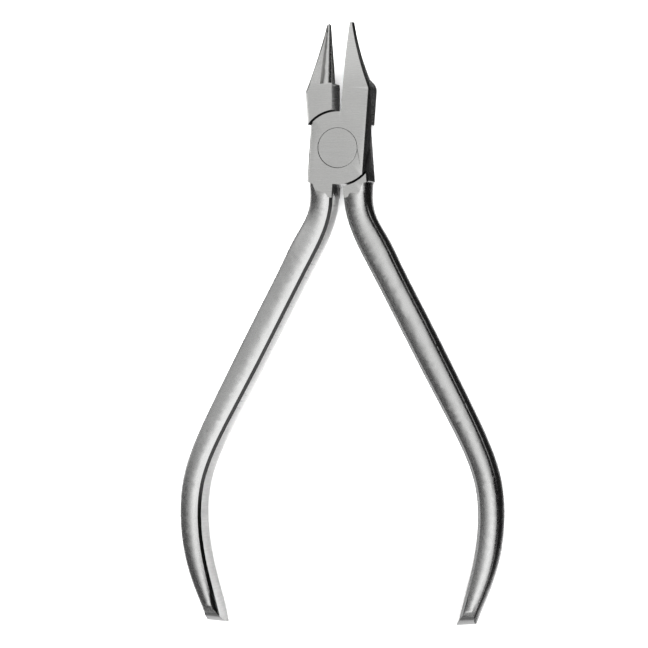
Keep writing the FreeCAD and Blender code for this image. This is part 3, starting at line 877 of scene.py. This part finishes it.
@dataclass
class Studio:
    """Camera, floor, light and the surroundings that the steel reflects.

    Attributes:
        azimuth: how far the camera is turned to the right of straight above.
        distance: how far it is from what it aims at.
        lens: its focal length in millimetres.
        aim: x and y of what it aims at, on the front face.
        floor_gap: the gap between the pliers and the floor.
        floor_reach: how far the floor goes each way.
        paper_tone: brightness of the floor's colour.
        lamp_place: where the overhead light hangs.
        lamp_size: its width.
        lamp_power: its power in watts.
        base: brightness of the surroundings above, away from every patch.
        above: the soft boxes and dark cards there.
        paper: brightness of the surroundings below, which is the paper's glow.
        below: the dark cards there.
        horizon: heights of the looked-in direction between which the two parts blend.
    """

    azimuth: float = math.radians(12.0)
    distance: float = 0.790
    lens: float = 203.4
    aim: tuple[float, float] = (-0.00295, -0.0380)
    floor_gap: float = 0.0001
    floor_reach: float = 3.0
    paper_tone: float = 0.93
    lamp_place: tuple[float, float, float] = (-0.05, 0.0, 1.3)
    lamp_size: float = 2.2
    lamp_power: float = 85.0
    base: float = 0.45
    above: tuple = (
        Patch((-0.20, 0.45, 0.87), 16.0, 42.0, 1.0),
        Patch((-0.20, 0.0, 0.98), 7.0, 22.0, 0.86),
        Patch((0.28, -0.32, 0.91), 14.0, 33.0, 1.45),
        Patch((-0.64, -0.42, 0.64), 17.0, 47.0, 0.08),
        Patch((0.92, 0.30, 0.20), 44.0, 62.0, 0.01),
        Patch((0.86, -0.48, 0.15), 10.0, 24.0, 0.25),
    )
    paper: float = 1.45
    below: tuple = (
        Patch((-0.60, 0.60, -0.55), 22.0, 44.0, 0.10),
        Patch((0.90, 0.40, -0.30), 64.0, 75.0, 0.01),
        Patch((0.84, 0.43, -0.32), 8.0, 16.0, 0.5),
    )
    horizon: tuple[float, float] = (-0.12, 0.02)

    def build(self) -> None:
        """Set up the whole studio."""
        self.set_camera()
        self.lay_floor()
        self.hang_lights()
        self.paint_surroundings()

    def set_camera(self) -> None:
        """Stand the camera square above the pliers, turned a little to their right."""
        data = bpy.data.cameras.new("camera")
        data.lens = self.lens
        camera = scene_object("camera", data)
        face = float(CAD_BOX[1][2])
        direction = Vector((math.sin(self.azimuth), 0.0, math.cos(self.azimuth)))
        camera.location = Vector((self.aim[0], self.aim[1], face)) + direction * self.distance
        camera.rotation_euler = (0.0, self.azimuth, 0.0)
        bpy.context.scene.camera = camera

    def lay_floor(self) -> None:
        """Lay a plain pale floor just under the pliers."""
        reach = self.floor_reach
        level = float(CAD_BOX[0][2]) - self.floor_gap
        corners = np.array([[-reach, -reach, level], [reach, -reach, level],
                            [reach, reach, level], [-reach, reach, level]])
        floor = mesh_object("floor", corners, [[0, 1, 2, 3]])
        material, surface = new_material("pale paper")
        surface.inputs["Base Color"].default_value = (self.paper_tone,) * 3 + (1.0,)
        surface.inputs["Roughness"].default_value = 0.9
        surface.inputs["Specular IOR Level"].default_value = 0.1
        floor.data.materials.append(material)
        floor.visible_glossy = False

    def hang_lights(self) -> None:
        """Hang one wide overhead light for the floor, which the steel doesn't mirror."""
        data = bpy.data.lights.new("overhead", "AREA")
        data.shape = "SQUARE"
        data.size = self.lamp_size
        data.energy = self.lamp_power
        lamp = scene_object("overhead", data)
        lamp.location = self.lamp_place
        lamp.visible_glossy = False

    def paint_surroundings(self) -> None:
        """Paint what the steel mirrors: soft boxes, dark cards and the paper's glow from below."""
        world = bpy.data.worlds.new("studio")
        bpy.context.scene.world = world
        world.use_nodes = True
        nodes = Nodes(world.node_tree)
        facing = nodes.add("TexCoord").outputs["Generated"]
        above = self.layered(nodes, facing, self.base, self.above)
        below = self.layered(nodes, facing, self.paper, self.below)
        split = nodes.add("SeparateXYZ", Vector=facing)
        upward = nodes.ramp(split.outputs["Z"], *self.horizon)
        background = world.node_tree.nodes["Background"]
        nodes.put(background.inputs["Strength"], nodes.mix(Blend.FLOAT, upward, below, above))
        background.inputs["Color"].default_value = (1.0, 1.0, 1.0, 1.0)

    def layered(self, nodes: Nodes, facing: bpy.types.NodeSocket, level: float,
                patches: tuple) -> bpy.types.NodeSocket:
        """Lay soft round patches over an even level, each covering what is under it.

        Args:
            nodes: the world's node helper.
            facing: the direction looked in.
            level: brightness away from every patch.
            patches: the patches, in the order that they are laid.

        Returns:
            The brightness socket.
        """
        result = level
        for patch in patches:
            dot = nodes.add("VectorMath", {"operation": "DOT_PRODUCT"})
            nodes.put(dot.inputs[0], facing)
            nodes.put(dot.inputs[1], tuple(Vector(patch.towards).normalized()))
            rim, core = math.cos(math.radians(patch.rim)), math.cos(math.radians(patch.core))
            share = nodes.ramp(dot.outputs["Value"], rim, core)
            result = nodes.mix(Blend.FLOAT, share, result, patch.level)
        return result


def main() -> None:
    """Build the pliers and the studio round them."""
    logging.basicConfig(level=logging.INFO, format="%(name)s: %(message)s")
    grain = grinding_grain_group()
    finishes = {
        Region.GROUND_FACE: SteelFinish("ground face", across=8500.0, shade=0.88).build(grain),
        Region.HANDLE: SteelFinish("satin handle", mapped=True, along=1100.0, across=3000.0,
                                   roughness=0.27, bump=0.2,
                                   tint=(0.67, 0.67, 0.665)).build(grain),
        Region.INNER_WALL: SteelFinish("handle inner wall", mapped=True, along=2600.0,
                                       across=120.0, roughness=0.32, worn_roughness=0.25,
                                       metallic=0.62, shade=0.72, bump=0.5,
                                       tint=(0.84, 0.84, 0.835)).build(grain),
        Region.CUT_FLANK: SteelFinish("cut flank", roughness=0.24,
                                      tint=(0.70, 0.70, 0.70)).build(grain),
        # Painted shade: this dark tint darkens the inner chamfers and the handles' ends.
        Region.CHAMFER: SteelFinish("handle chamfer painted shade", mapped=True, along=60.0, across=3000.0,
                                    roughness=0.18, tint=(0.30, 0.30, 0.30)).build(grain),
        # Painted shade: this near-black tint stands in for the shade in the lap round the pivot and
        # under the step.
        Region.LAP: SteelFinish("lap painted shade", roughness=0.30, tint=(0.09, 0.09, 0.09)).build(grain),
    }
    Studio().build()
    ForgedHalf("flat_beak_half", "flat_half", Side.LEFT, finishes).build()
    ForgedHalf("cone_beak_half", "cone_half", Side.RIGHT, finishes).build()
    HingeRivet(SteelFinish("rivet head").build(grain)).build()
    bpy.context.scene.view_settings.view_transform = "Standard"


if __name__ == "__main__":
    main()
